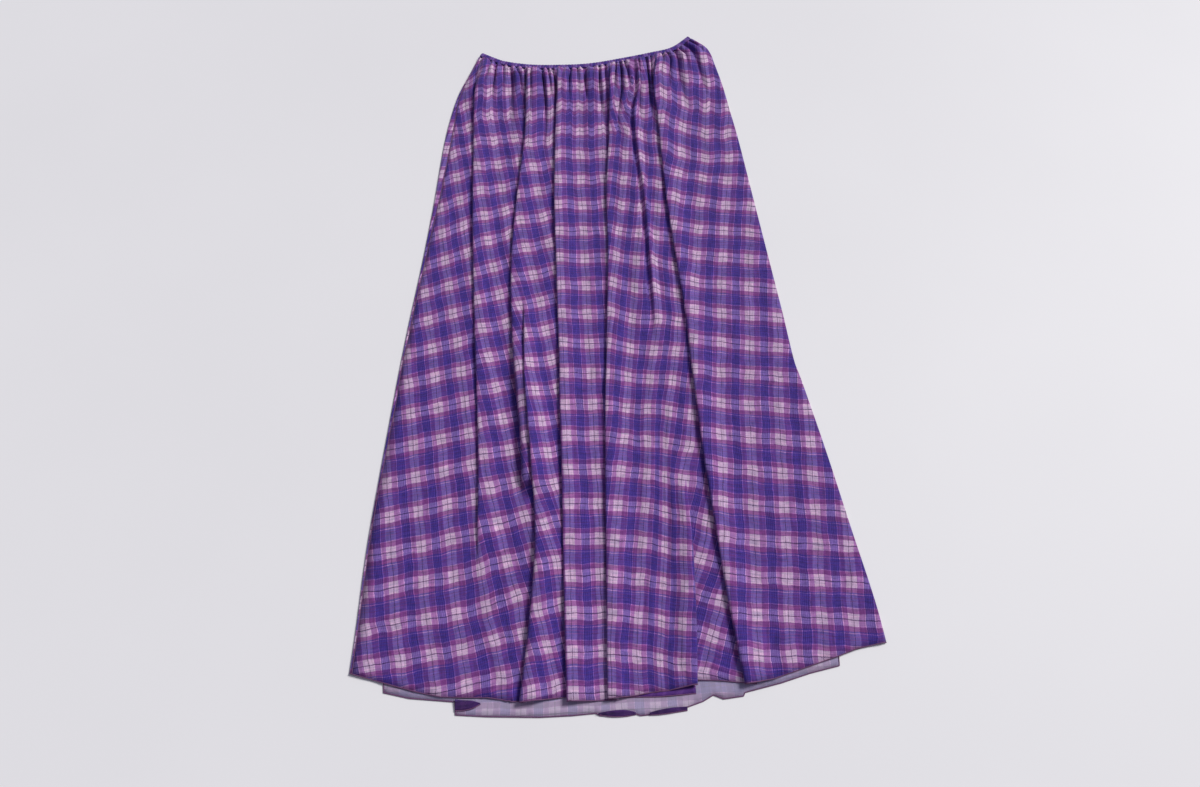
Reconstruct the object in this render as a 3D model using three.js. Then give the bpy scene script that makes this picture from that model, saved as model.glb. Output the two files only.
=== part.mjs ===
import * as THREE from 'three';

// A long gathered skirt of woven cloth, laid flat on its back: a front panel on a back panel,
// joined down both sides, with a narrow elastic waistband all round the top.
// Millimetres. The waist points along +Y, +Z is up, and the cloth lies on z = 0.

// Cloth and seams; the cloth is thicker and higher where its gathers bunch near the waist
const WALL = 1.0;
const SEAM_GAP = 0.3;
const LAYER_GAP = 0.3;
const BULK_AT_WAIST = 1.2;
const LIFT_AT_WAIST = 5;
const LIFT_AT_SIDE = 0.29;
const WAIST_REACH = 110;

// Waistband
const BAND_WIDTH = 8;
const BAND_WALL = 3;
const BAND_GATHERS = 36;
const BAND_RIPPLE = 0.3;
const BAND_TRIM = 0.9;

// Folds: the turn under a fold, the turn on its crest, and how far a crest slopes away
const UNDER_TURN = 0.8;
const CREST_TURN = 1.6;
const CREST_SLOPE = 36;
const LEAST_TURN = 0.02;
const LEAST_LAP = 0.6;
const TURN_STEPS = 3;
const SLOPE_SHARE = 0.95;
const HEM_STEP = 2.5;

// Sides, where the cloth turns round from the front to the back
const EDGE_RISE = 0.5;
const SIDE_EASE = 12;
const SIDE_TUCK = 0.6;
const SIDE_STEPS = 4;

// The waist edge from the left side to the right, as [x, y]
const WAIST = [
  [-163, 480.5], [-145, 469.8], [-126, 460.4], [-85, 451.7], [-39, 449.2],
  [4, 450.3], [52, 458.5], [100, 468.8], [132, 478.0], [161, 501.6],
];

// Where the sides and fold lines run: x at each of these heights, from the waist to the hem
const HEIGHTS = [496, 480, 465, 450, 400, 350, 300, 200, 100, 0, -75, -100, -200, -300, -400, -480];
const LINES = {
  left_side: [-160, -165, -170, -176, -196, -208, -216, -227, -240, -255, -265, -268, -280, -291, -298, -305],
  side_seam: [-156, -161, -166, -172, -192, -200, -206, -220, -236, -251, -262, -264, -277, -288, -295, -301],
  fold_b: [-156, -158, -160, -163, -170, -172, -172, -172, -170, -167, -164, -163, -160, -160, -158, -156],
  fold_c: [-92, -92, -92, -92, -93, -95, -99, -110, -118, -118, -115, -113, -107, -110, -116, -122],
  fold_d: [-80, -80, -80, -80, -80, -82, -86, -96, -104, -102, -102, -101, -95, -92, -101, -112],
  fold_e: [-48, -48, -48, -48, -48, -50, -53, -57, -57, -57, -57, -58, -58, -59, -60, -60],
  fold_f: [38, 37, 36, 36, 32, 28, 25, 17, 14, 8, 3, 1, -4, -8, -12, -15],
  valley: [66, 66, 67, 68, 71, 61, 60, 65, 66, 66, 65, 64, 60, 54, 48, 42],
  fold_g: [84, 84, 84, 85, 85, 82, 82, 84, 87, 90, 91, 91, 92, 94, 90, 84],
  fold_h: [108, 107, 106, 105, 97, 99, 100, 101, 106, 112, 113, 114, 117, 123, 130, 138],
  right_side: [166, 184, 191, 194, 203, 209, 215, 224, 233, 242, 248, 253, 270, 285, 300, 306],
};

// Each fold: which side lies on top, how far it laps, and its strength down the skirt as [y, 0 to 1].
// Up to 0.5 a fold only steps up, and past that the upper cloth laps over the lower.
const FOLDS = {
  fold_b: { over: 'right', lap: 7, strength: [[470, 0.04], [440, 0.1], [390, 0.8], [-240, 0.8], [-330, 0]] },
  fold_c: { over: 'right', lap: 9, strength: [[450, 0.06], [400, 0.5], [300, 1], [-180, 0.9], [-235, 0]] },
  fold_d: { over: 'right', lap: 9, strength: [[40, 0], [-20, 0.6], [-220, 1], [-400, 1], [-480, 0.6]] },
  fold_e: { over: 'right', lap: 10, strength: [[450, 0.06], [390, 0.6], [330, 1], [-480, 1]] },
  fold_f: { over: 'right', lap: 9, strength: [[450, 0.06], [390, 0.5], [330, 1], [-480, 1]] },
  fold_g: { over: 'left', lap: 12, strength: [[-215, 0], [-290, 0.9], [-480, 1]] },
  fold_h: { over: 'right', lap: 10, strength: [[460, 0.06], [400, 0.6], [330, 1], [-480, 1]] },
};

// The open valley between two ridges: how deep and wide, and its strength down the skirt
const VALLEY = {
  depth: 4.2,
  halfWidth: 6,
  ridge: 3.6,
  sideShare: 0.75,
  strength: [[460, 0.2], [400, 1], [60, 0.9], [-40, 0]],
};

// Gathers under the waistband in each panel, as [place across the panel, depth, length].
// A narrow panel has no room for the slope of its own crest, which carries on past its end.
const PANELS = [
  { from: 'side_seam', to: 'fold_b', gathers: [[0.25, 0, 60], [0.75, 0.6, 60]] },
  { from: 'fold_b', to: 'fold_c', gathers: [
    [0.1, 2.7, 60], [0.26, 2.2, 45], [0.43, 3.9, 90], [0.59, 2.7, 50], [0.76, 3.9, 110], [0.92, 2.4, 60]] },
  { from: 'fold_c', to: 'fold_d', narrow: true, gathers: [[0.5, 2.2, 70]] },
  { from: 'fold_d', to: 'fold_e', gathers: [[0.25, 3.9, 130], [0.58, 2.4, 55], [0.85, 3, 80]] },
  { from: 'fold_e', to: 'fold_f', gathers: [
    [0.08, 2.4, 50], [0.22, 2.7, 70], [0.37, 3.3, 60], [0.52, 2.7, 75], [0.66, 2.4, 45],
    [0.79, 3.9, 120], [0.93, 2.7, 60]] },
  { from: 'fold_f', to: 'valley', gathers: [[0.15, 2.2, 60], [0.45, 3.9, 100], [0.8, 2.4, 60]] },
  { from: 'valley', to: 'fold_g', gathers: [[0.3, 2.1, 60], [0.75, 2.7, 90]] },
  { from: 'fold_g', to: 'fold_h', gathers: [[0.3, 3.3, 90], [0.75, 2.4, 60]] },
  { from: 'fold_h', to: 'right_side', gathers: [
    [0.08, 2.7, 60], [0.24, 2.4, 50], [0.42, 3.9, 90], [0.58, 2.4, 60], [0.75, 3.3, 70], [0.92, 1.8, 40]] },
];

// The front hem from left to right, as [x, y]; it steps where a fold ends
const FRONT_HEM = [
  [-301, -442], [-263, -453.7], [-222, -466], [-197, -471.7], [-152, -474.8], [-130, -478],
  [-112, -482], [-86, -479.4], [-62, -477.5], [-58, -483.2], [-17, -483.8], [-13, -482.4],
  [21, -480.1], [47, -476.5], [83, -471.8], [86, -465.8], [112, -468.4], [137, -474],
  [169, -469.3], [214, -456.8], [247, -447.8], [270, -440.5], [302, -435.5],
];

// The back hem, which shows below the front one, as [x, y]
const BACK_HEM = [
  [-301, -438], [-264, -450], [-263, -464.1], [-234, -471.5], [-184, -477.5], [-183, -491.3],
  [-149, -494.6], [-91, -497.9], [-55, -497.8], [-29, -496.6], [-24, -499.6], [15, -499.2],
  [20, -501.3], [70, -498.2], [72, -494.7], [90, -489.4], [102, -483.2], [113, -488],
  [135, -485.9], [137, -482.2], [179, -473.8], [212, -465], [246, -458.3], [247, -446], [301, -434],
];

// Rows of the walls, as shares of the way from the waist to the hem, and other counts
const ROWS = [0, 0.012, 0.035, 0.065, 0.1, 0.15, 0.22, 0.32, 0.44, 0.56, 0.68, 0.79, 0.89, 1];
const WAIST_STEPS = 160;
const BACK_SPACING = 14;
const END_ROUNDS = 60;

const CLOTH_COLOR = 0x6a4a8e;
const BAND_COLOR = 0x4b3576;

const { lerp, clamp } = THREE.MathUtils;

function ease(share) {
  const t = clamp(share, 0, 1);
  return t * t * (3 - 2 * t);
}

// Straight interpolation in a table of [key, value] rows, whose keys rise or fall
function along(table, key) {
  const falling = table[1][0] < table[0][0];
  let row = 1;
  while (row < table.length - 1 && (falling ? key < table[row][0] : key > table[row][0])) row += 1;
  const [keyA, valueA] = table[row - 1];
  const [keyB, valueB] = table[row];
  return lerp(valueA, valueB, clamp((key - keyA) / (keyB - keyA), 0, 1));
}

// A smooth curve through the same kind of table, straight past its ends
function through(table, key) {
  const falling = table[1][0] < table[0][0];
  let row = 1;
  while (row < table.length - 1 && (falling ? key < table[row][0] : key > table[row][0])) row += 1;
  const slope = (i) => {
    const before = table[Math.max(i - 1, 0)];
    const after = table[Math.min(i + 1, table.length - 1)];
    return (after[1] - before[1]) / (after[0] - before[0]);
  };
  const [keyA, valueA] = table[row - 1];
  const [keyB, valueB] = table[row];
  const span = keyB - keyA;
  const t = (key - keyA) / span;
  if (t < 0) return valueA + slope(row - 1) * (key - keyA);
  if (t > 1) return valueB + slope(row) * (key - keyB);
  const rise = valueB - valueA;
  const bendA = slope(row - 1) * span - rise;
  const bendB = rise - slope(row) * span;
  return lerp(valueA, valueB, t) + t * (1 - t) * ((1 - t) * bendA + t * bendB);
}

const lineTables = Object.fromEntries(
  Object.entries(LINES).map(([name, xs]) => [name, HEIGHTS.map((y, i) => [y, xs[i]])]),
);

function lineX(name, y) {
  return through(lineTables[name], y);
}

// The point that lies a distance into the skirt from the waist edge at a place along it
function belowWaist(x, distance) {
  const slope = (through(WAIST, x + 1) - through(WAIST, x - 1)) / 2;
  const length = Math.hypot(1, slope);
  return [x + (slope / length) * distance, through(WAIST, x) - distance / length];
}

// The panels' top edge, just below the waistband, as a fine table of [x, y]
const waistLeft = WAIST[0][0];
const waistRight = WAIST.at(-1)[0];
const panelTop = [];
for (let i = 0; i <= WAIST_STEPS; i += 1) {
  const x = lerp(waistLeft, waistRight, i / WAIST_STEPS);
  panelTop.push(belowWaist(x, BAND_WIDTH + SEAM_GAP));
}

// How near the waist a point is: 1 at the waistband, 0 past its reach
function nearWaist(x, y) {
  return 1 - ease((along(panelTop, x) - y) / WAIST_REACH);
}

function backThickness(x, y) {
  return WALL + BULK_AT_WAIST * nearWaist(x, y);
}

// Gathered cloth stands up under the waistband, less so near the sides
function lift(x, y) {
  const fromSide = Math.min(x - lineX('side_seam', y), lineX('right_side', y) - x);
  const share = lerp(LIFT_AT_SIDE, 1, ease(fromSide / SIDE_EASE));
  return LIFT_AT_WAIST * share * nearWaist(x, y);
}

// Middle height of cloth that lies a given height above the lowest place for the front panel
function frontHeight(x, y, above) {
  const lowest = WALL + LAYER_GAP + WALL / 2;
  return Math.max(lowest + above + lift(x, y), backThickness(x, y) + LAYER_GAP + WALL / 2);
}

// Where a line leaves the waistband and where it meets the front hem
function lineEnds(name) {
  let top = panelTop[0][1];
  let bottom = HEIGHTS.at(-1);
  for (let i = 0; i < END_ROUNDS; i += 1) {
    top = lerp(top, along(panelTop, lineX(name, top)), 0.5);
    bottom = lerp(bottom, along(FRONT_HEM, lineX(name, bottom)), 0.5);
  }
  return { top, bottom, topX: lineX(name, top), bottomX: lineX(name, bottom) };
}

const ends = Object.fromEntries(Object.keys(LINES).map((name) => [name, lineEnds(name)]));

function lineY(name, share) {
  return lerp(ends[name].top, ends[name].bottom, share);
}

// A fold's section, as [x, z] from the lower cloth to the upper, with its crest at x = 0.
// Its two turns keep their length of cloth however far they turn.
function foldSection(strength, lap) {
  const turn = Math.PI * clamp(2 * strength, LEAST_TURN, 1);
  const middle = lerp(LEAST_LAP, lap, clamp(2 * strength - 1, 0, 1));
  const under = (Math.PI * UNDER_TURN) / turn;
  const crest = (Math.PI * CREST_TURN) / turn;
  const points = [];
  for (let i = 0; i <= TURN_STEPS; i += 1) {
    const angle = (turn * i) / TURN_STEPS;
    points.push([under * Math.sin(angle), under * (1 - Math.cos(angle))]);
  }
  const crestX = points.at(-1)[0] + middle * Math.cos(turn);
  const crestZ = points.at(-1)[1] + middle * Math.sin(turn);
  for (let i = 0; i <= TURN_STEPS; i += 1) {
    const angle = turn * (1 - i / TURN_STEPS);
    points.push([
      crestX + crest * (Math.sin(turn) - Math.sin(angle)),
      crestZ + crest * (Math.cos(angle) - Math.cos(turn)),
    ]);
  }
  const reach = crestX + crest * (Math.sin(turn) - Math.sin(Math.min(turn, Math.PI / 2)));
  const rise = 2 * (UNDER_TURN + CREST_TURN) * clamp(2 * strength, 0, 1);
  const tallest = points.at(-1)[1];
  return points.map(([x, z]) => [x - reach, (z * rise) / tallest]);
}

function valleySection(strength) {
  const { depth, halfWidth, ridge, sideShare } = VALLEY;
  const top = ridge * strength;
  const floor = Math.max(0, top - depth * strength);
  const side = lerp(top, floor, sideShare);
  return [
    [-halfWidth, top], [-halfWidth / 2, side], [0, floor], [halfWidth / 2, side], [halfWidth, top],
  ];
}

// A line's section at one height, from left to right: a fold, the valley, or a plain edge
function lineSection(name, y) {
  if (name === 'valley') return valleySection(along(VALLEY.strength, y));
  if (!(name in FOLDS)) return [[0, EDGE_RISE]];
  const { over, lap, strength } = FOLDS[name];
  const section = foldSection(along(strength, y), lap);
  return over === 'right' ? section : section.map(([x, z]) => [-x, z]).reverse();
}

// Half-way places between a gather and its neighbours, or the panel's ends
function gatherBounds(gathers, i) {
  const place = gathers[i][0];
  const left = i === 0 ? 0 : (place + gathers[i - 1][0]) / 2;
  const right = i === gathers.length - 1 ? 1 : (place + gathers[i + 1][0]) / 2;
  return [left, place, right];
}

// How deep a panel's gathers dip at one place across it and one distance below the waistband
function gatherDip(gathers, across, below) {
  let dip = 0;
  gathers.forEach(([, depth, length], i) => {
    const [left, place, right] = gatherBounds(gathers, i);
    const offset = across < place ? (place - across) / (place - left) : (across - place) / (right - place);
    if (offset < 1) dip += depth * Math.cos((offset * Math.PI) / 2) ** 2 * (1 - ease(below / length));
  });
  return dip;
}

// Four columns to a gather: its crest, the slope, its valley and the other slope
function panelColumns(gathers) {
  const columns = gathers.flatMap((_, i) => {
    const [left, place, right] = gatherBounds(gathers, i);
    return [left, lerp(left, place, 0.5), place, lerp(place, right, 0.5)];
  });
  return columns.slice(1);
}

// The middle of the turn that carries the cloth round a side, and that turn's radius
function sideTurn(name, share) {
  const sideY = lineY(name, share);
  const sideX = lineX(name, sideY);
  const radius = (frontHeight(sideX, sideY, EDGE_RISE) - WALL / 2) / 2;
  const inward = (name === 'left_side' ? 1 : -1) * (radius + WALL / 2);
  const { top, bottom, topX } = ends[name];
  const insetTop = Math.min(top, along(panelTop, topX + inward)) - 2 * SEAM_GAP;
  return { radius, x: sideX + inward, y: lerp(insetTop, bottom, share) };
}

// The front panel's columns at one share of its height: place, height, hem place and gather dip
function frontColumns(share) {
  const sectionOf = (name) => {
    const y = lineY(name, share);
    return lineSection(name, y).map(([x, z]) => [lineX(name, y) + x, z]);
  };
  const noDip = () => 0;
  const [seamX, seamRise] = sectionOf('side_seam')[0];
  const columns = [{ x: seamX, above: seamRise, hemX: ends.side_seam.bottomX, dip: noDip }];
  let carried = { x: 0, rise: 0 };
  const carriedRise = (x) => carried.rise * (1 - ease((x - carried.x) / CREST_SLOPE));
  for (const { from, to, gathers, narrow = false } of PANELS) {
    const last = to === 'right_side';
    const [startX, crestRise] = sectionOf(from).at(-1);
    if (narrow) carried = { x: startX, rise: crestRise };
    const startRise = narrow ? 0 : crestRise;
    const [endX, endRise] = last ? [sideTurn(to, share).x, EDGE_RISE] : sectionOf(to)[0];
    const slope = Math.min(CREST_SLOPE, SLOPE_SHARE * (endX - startX));
    for (const across of panelColumns(gathers)) {
      const x = lerp(startX, endX, across);
      const fromStart = startRise * (1 - ease((x - startX) / slope));
      const fromEnd = endRise * (1 - ease((endX - x) / slope));
      columns.push({
        x,
        above: carriedRise(x) + fromStart + fromEnd,
        hemX: lerp(ends[from].bottomX, ends[to].bottomX, across),
        dip: (below) => gatherDip(gathers, across, below),
      });
    }
    if (last) break;
    if (!narrow) carried = { x: 0, rise: 0 };
    sectionOf(to).forEach(([x, z], i, section) => {
      const side = i < section.length / 2 ? -HEM_STEP : HEM_STEP;
      columns.push({ x, above: z + carriedRise(x), hemX: ends[to].bottomX + side, dip: noDip });
    });
  }
  return columns;
}

// One row of the front panel's middle, from its left seam to the turn under its right edge
function frontRow(share) {
  const topColumns = frontColumns(0);
  const points = frontColumns(share).map(({ x, above, hemX, dip }, c) => {
    const topY = along(panelTop, topColumns[c].x);
    const y = lerp(topY, along(FRONT_HEM, hemX), share);
    return new THREE.Vector3(x, y, frontHeight(x, y, above - dip(topY - y)));
  });
  const turn = sideTurn('right_side', share);
  for (let i = 0; i <= SIDE_STEPS; i += 1) {
    const angle = (Math.PI * i) / SIDE_STEPS;
    const z = WALL / 2 + turn.radius * (1 + Math.cos(angle));
    points.push(new THREE.Vector3(turn.x + turn.radius * Math.sin(angle), turn.y, z));
  }
  points.push(new THREE.Vector3(turn.x - SIDE_TUCK, turn.y, WALL / 2));
  return points;
}

// The two faces of a wall of even thickness round a grid of middle points
function wallFaces(rows, thickness, ring = false) {
  const count = rows[0].length;
  const column = (c) => (ring ? (c + count) % count : clamp(c, 0, count - 1));
  const at = (r, c) => rows[clamp(r, 0, rows.length - 1)][column(c)];
  return [1, -1].map((side) => rows.map((row, r) => row.map((point, c) => {
    const across = at(r, c + 1).clone().sub(at(r, c - 1));
    const down = at(r + 1, c).clone().sub(at(r - 1, c));
    const normal = down.cross(across).normalize();
    return point.clone().addScaledVector(normal, (side * thickness) / 2);
  })));
}

// A closed solid between two faces, each a grid of points whose rows run from waist to hem
function wallSolid([outerFace, innerFace], ring = false) {
  const rowCount = outerFace.length;
  const count = outerFace[0].length;
  const positions = [outerFace, innerFace].flat(2).flatMap((point) => point.toArray());
  const outer = (r, c) => r * count + (c % count);
  const inner = (r, c) => rowCount * count + outer(r, c);
  const index = [];
  const quad = (a, b, c, d) => index.push(a, b, c, a, c, d);
  const last = ring ? count : count - 1;
  const bottom = rowCount - 1;
  for (let c = 0; c < last; c += 1) {
    for (let r = 0; r < bottom; r += 1) {
      quad(outer(r, c), outer(r + 1, c), outer(r + 1, c + 1), outer(r, c + 1));
      quad(inner(r, c), inner(r, c + 1), inner(r + 1, c + 1), inner(r + 1, c));
    }
    quad(outer(bottom, c + 1), outer(bottom, c), inner(bottom, c), inner(bottom, c + 1));
    quad(outer(0, c), outer(0, c + 1), inner(0, c + 1), inner(0, c));
  }
  if (!ring) {
    for (let r = 0; r < bottom; r += 1) {
      quad(outer(r + 1, 0), outer(r, 0), inner(r, 0), inner(r + 1, 0));
      quad(outer(r, last), outer(r + 1, last), inner(r + 1, last), inner(r, last));
    }
  }
  const geometry = new THREE.BufferGeometry();
  geometry.setAttribute('position', new THREE.Float32BufferAttribute(positions, 3));
  geometry.setIndex(index);
  geometry.computeVertexNormals();
  return geometry;
}

function frontPanel() {
  return wallSolid(wallFaces(ROWS.map(frontRow), WALL));
}

// A table of [x, y] with more points on its straight stretches, no further apart than a spacing
function subdivided(table, spacing) {
  const points = [table[0]];
  for (let i = 1; i < table.length; i += 1) {
    const [xA, yA] = table[i - 1];
    const [xB, yB] = table[i];
    const steps = Math.ceil((xB - xA) / spacing);
    for (let j = 1; j <= steps; j += 1) points.push([lerp(xA, xB, j / steps), lerp(yA, yB, j / steps)]);
  }
  return points;
}

// The back panel lies flat, and its left edge turns up and over to the seam on the front
function backPanel() {
  const upper = [];
  const under = [];
  const hemPoints = subdivided(BACK_HEM, BACK_SPACING);
  const hemLeft = BACK_HEM[0][0];
  const hemRight = BACK_HEM.at(-1)[0];
  const topLeft = sideTurn('left_side', 0).x;
  const topRight = sideTurn('right_side', 0).x - SIDE_TUCK - SEAM_GAP;
  for (const share of ROWS) {
    const upperRow = [];
    const underRow = [];
    const left = sideTurn('left_side', share);
    const right = sideTurn('right_side', share);
    const seamY = lineY('side_seam', share);
    const seamX = lineX('side_seam', seamY) - SEAM_GAP;
    const turnTop = WALL / 2 + 2 * left.radius;
    upperRow.push(new THREE.Vector3(seamX, seamY, turnTop - WALL / 2));
    underRow.push(new THREE.Vector3(seamX, seamY, turnTop + WALL / 2));
    for (let i = 0; i < SIDE_STEPS; i += 1) {
      const angle = (Math.PI * i) / SIDE_STEPS;
      const ring = (row, radius) => row.push(new THREE.Vector3(
        left.x - radius * Math.sin(angle),
        left.y,
        WALL / 2 + left.radius + radius * Math.cos(angle),
      ));
      ring(upperRow, left.radius - WALL / 2);
      ring(underRow, left.radius + WALL / 2);
    }
    for (const [hemX, hemY] of hemPoints) {
      const across = (hemX - hemLeft) / (hemRight - hemLeft);
      const x = lerp(left.x, right.x - SIDE_TUCK - SEAM_GAP, across);
      const topX = lerp(topLeft, topRight, across);
      const sideY = across < 0.5 ? left.y : right.y;
      const onSide = across === 0 || across === 1;
      const y = onSide ? sideY : lerp(along(panelTop, topX) - SEAM_GAP, hemY, share);
      const thickness = onSide ? WALL : backThickness(x, y);
      upperRow.push(new THREE.Vector3(x, y, thickness));
      underRow.push(new THREE.Vector3(x, y, 0));
    }
    upper.push(upperRow);
    under.push(underRow);
  }
  return wallSolid([upper, under]);
}

// The waistband goes across the front, round the right end, back behind and round the left end
function waistband() {
  const radius = (BAND_WALL + LAYER_GAP) / 2;
  const trim = radius + BAND_WALL / 2 + BAND_TRIM;
  const steps = 2 * BAND_GATHERS;
  const stations = [];
  const pass = (from, to, height, ripple) => {
    for (let i = 0; i <= steps; i += 1) {
      const z = height + (i % 2 ? ripple : 0);
      stations.push({ x: lerp(from, to, i / steps), z, out: 0 });
    }
  };
  const turn = (x, way) => {
    for (let i = 1; i < SIDE_STEPS; i += 1) {
      const angle = (Math.PI * i) / SIDE_STEPS;
      const z = radius * (1 + way * Math.cos(angle));
      stations.push({ x, z, out: way * radius * Math.sin(angle) });
    }
  };
  const left = waistLeft + trim;
  const right = waistRight - trim;
  pass(left, right, 2 * radius, BAND_RIPPLE);
  turn(right, 1);
  pass(right, left, 0, 0);
  turn(left, -1);
  const rows = [0, BAND_WIDTH].map((distance) => stations.map(({ x, z, out }) => {
    const slope = (through(WAIST, x + 1) - through(WAIST, x - 1)) / 2;
    const length = Math.hypot(1, slope);
    const [edgeX, edgeY] = belowWaist(x, distance);
    return new THREE.Vector3(edgeX + out / length, edgeY + (out * slope) / length, BAND_WALL / 2 + z);
  }));
  return wallSolid(wallFaces(rows, BAND_WALL, true), true);
}

function sewnPiece(name, geometry, color) {
  const material = new THREE.MeshStandardMaterial({ color, roughness: 0.9, metalness: 0 });
  const mesh = new THREE.Mesh(geometry, material);
  mesh.name = name;
  return mesh;
}

const skirt = new THREE.Group();
skirt.name = 'maxi_skirt';
skirt.add(
  sewnPiece('front_panel', frontPanel(), CLOTH_COLOR),
  sewnPiece('back_panel', backPanel(), CLOTH_COLOR),
  sewnPiece('waistband', waistband(), BAND_COLOR),
);

// The origin is under the middle of the whole skirt
const box = new THREE.Box3().setFromObject(skirt);
skirt.position.set(-(box.min.x + box.max.x) / 2, -(box.min.y + box.max.y) / 2, -box.min.z);

export default skirt;
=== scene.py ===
# %% [markdown]
# # A gathered maxi skirt, laid flat
#
# The real object is a long skirt of light woven cloth in a purple plaid. Two panels are joined
# down the sides and gathered onto a narrow elastic waistband. It lies on its back on a white
# table, and its cloth has fallen into long folds that run from the waist to the hem.
#
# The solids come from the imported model. This script covers them with thin cloth of the same
# form, weaves the plaid from shader nodes, adds the sewing, and sets up the light and the camera.

# %% Tools and the frame
import math

import bmesh
import bpy
import numpy as np
from mathutils import Matrix, Vector


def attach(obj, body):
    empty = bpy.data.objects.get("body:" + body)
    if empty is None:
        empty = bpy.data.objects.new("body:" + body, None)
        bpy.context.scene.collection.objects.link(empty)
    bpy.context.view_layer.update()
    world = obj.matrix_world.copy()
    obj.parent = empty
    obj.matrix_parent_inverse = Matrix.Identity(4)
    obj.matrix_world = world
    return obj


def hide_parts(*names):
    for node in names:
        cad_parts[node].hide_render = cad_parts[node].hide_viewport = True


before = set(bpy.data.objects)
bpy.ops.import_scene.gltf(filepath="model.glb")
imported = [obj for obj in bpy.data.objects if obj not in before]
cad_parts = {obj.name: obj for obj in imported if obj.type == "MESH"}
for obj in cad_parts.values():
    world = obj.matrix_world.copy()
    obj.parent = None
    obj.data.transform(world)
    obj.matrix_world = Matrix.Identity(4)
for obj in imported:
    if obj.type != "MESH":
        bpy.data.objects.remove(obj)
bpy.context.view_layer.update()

MM = 0.001

# %% [markdown]
# ## The camera
#
# The photograph looks down at the table from in front of the hem, with the waist furthest away.
# A camera can be aimed by hand, but three directions of its own state the angle exactly: its
# right, its up, and the way that it looks. They are the columns of its matrix.

# %% Camera
CAMERA_PLACE = Vector((-0.0300, -0.6224, 1.0751))
CAMERA_RIGHT = Vector((0.99894, -0.04595, 0.0))
CAMERA_UP = Vector((0.04145, 0.90099, 0.43187))
LENS_MM = 28.0

camera_data = bpy.data.cameras.new("camera")
camera_data.lens = LENS_MM
camera_data.sensor_width = 36.0
camera = bpy.data.objects.new("camera", camera_data)
toward_viewer = CAMERA_RIGHT.cross(CAMERA_UP).normalized()
turn = Matrix((CAMERA_RIGHT, CAMERA_UP, toward_viewer)).transposed().to_4x4()
camera.matrix_world = Matrix.Translation(CAMERA_PLACE) @ turn
bpy.context.scene.collection.objects.link(camera)
bpy.context.scene.camera = camera

# %% [markdown]
# ## Sizes of the skirt
#
# The waist, the sides, the folds and the hems run along the same lines as in the solids, in
# millimetres, so the cloth lies on them. The folds and gathers stand a little fuller here, and
# the gathers are less even, because thin cloth puffs up where a thick wall does not. Each fold
# is a line down the skirt, given by its place across at a few heights, with a curve drawn
# through those places. A drawn curve with a few named points is easy to change later, which a
# sculpted mesh is not.

# %% The waist, the sides and the fold lines
WAIST = [
    (-163, 480.5), (-145, 469.8), (-126, 460.4), (-85, 451.7), (-39, 449.2),
    (4, 450.3), (52, 458.5), (100, 468.8), (132, 478.0), (161, 501.6),
]
HEIGHTS = [496, 480, 465, 450, 400, 350, 300, 200, 100, 0, -75, -100, -200, -300, -400, -480]
LINES = {
    "left_side": [
        -160, -165, -170, -176, -196, -208, -216, -227, -240, -255, -265, -268, -280, -291, -298, -305],
    "side_seam": [
        -156, -161, -166, -172, -192, -200, -206, -220, -236, -251, -262, -264, -277, -288, -295, -301],
    "fold_b": [
        -156, -158, -160, -163, -170, -172, -172, -172, -170, -167, -164, -163, -160, -160, -158, -156],
    "fold_c": [-92, -92, -92, -92, -93, -95, -99, -110, -118, -118, -115, -113, -107, -110, -116, -122],
    "fold_d": [-80, -80, -80, -80, -80, -82, -86, -96, -104, -102, -102, -101, -95, -92, -101, -112],
    "fold_e": [-48, -48, -48, -48, -48, -50, -53, -57, -57, -57, -57, -58, -58, -59, -60, -60],
    "fold_f": [38, 37, 36, 36, 32, 28, 25, 17, 14, 8, 3, 1, -4, -8, -12, -15],
    "valley": [66, 66, 67, 68, 71, 61, 60, 65, 66, 66, 65, 64, 60, 54, 48, 42],
    "fold_g": [84, 84, 84, 85, 85, 82, 82, 84, 87, 90, 91, 91, 92, 94, 90, 84],
    "fold_h": [108, 107, 106, 105, 97, 99, 100, 101, 106, 112, 113, 114, 117, 123, 130, 138],
    "right_side": [166, 184, 191, 194, 203, 209, 215, 224, 233, 242, 248, 253, 270, 285, 300, 306],
}
print("lines down the skirt:", len(LINES))

# %% How strongly each fold laps
# The side that lies on top, how far it laps, and the fold's strength at some heights.
FOLDS = {
    "fold_b": ("right", 7, [(470, 0.04), (440, 0.1), (390, 0.8), (-240, 0.8), (-330, 0)]),
    "fold_c": ("right", 9, [(450, 0.06), (425, 0.6), (390, 0.95), (300, 1), (-200, 1), (-240, 0)]),
    "fold_d": ("right", 9, [(40, 0), (-20, 0.6), (-220, 1), (-400, 1), (-480, 0.6)]),
    "fold_e": ("right", 10, [(450, 0.06), (390, 0.6), (330, 1), (-480, 1)]),
    "fold_f": ("right", 9, [(450, 0.06), (390, 0.5), (330, 1), (-480, 1)]),
    "fold_g": ("left", 12, [(-215, 0), (-290, 0.9), (-480, 1)]),
    "fold_h": ("right", 10, [(460, 0.06), (400, 0.6), (330, 1), (-480, 1)]),
}
# How full a fold's crest is, as the radius of its turn at some heights.
CREST_TURN = [(500, 1.8), (-480, 1.8)]
FULLER_CRESTS = {
    "fold_c": [(500, 2.0), (430, 2.7), (330, 2.7), (200, 1.8), (-20, 2.0), (-80, 4.8), (-235, 5.0)],
    "fold_d": [(40, 2.0), (-230, 2.0), (-290, 3.2), (-480, 3.2)],
    "fold_h": [(500, 1.8), (0, 2.0), (-480, 2.6)],
}
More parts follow.
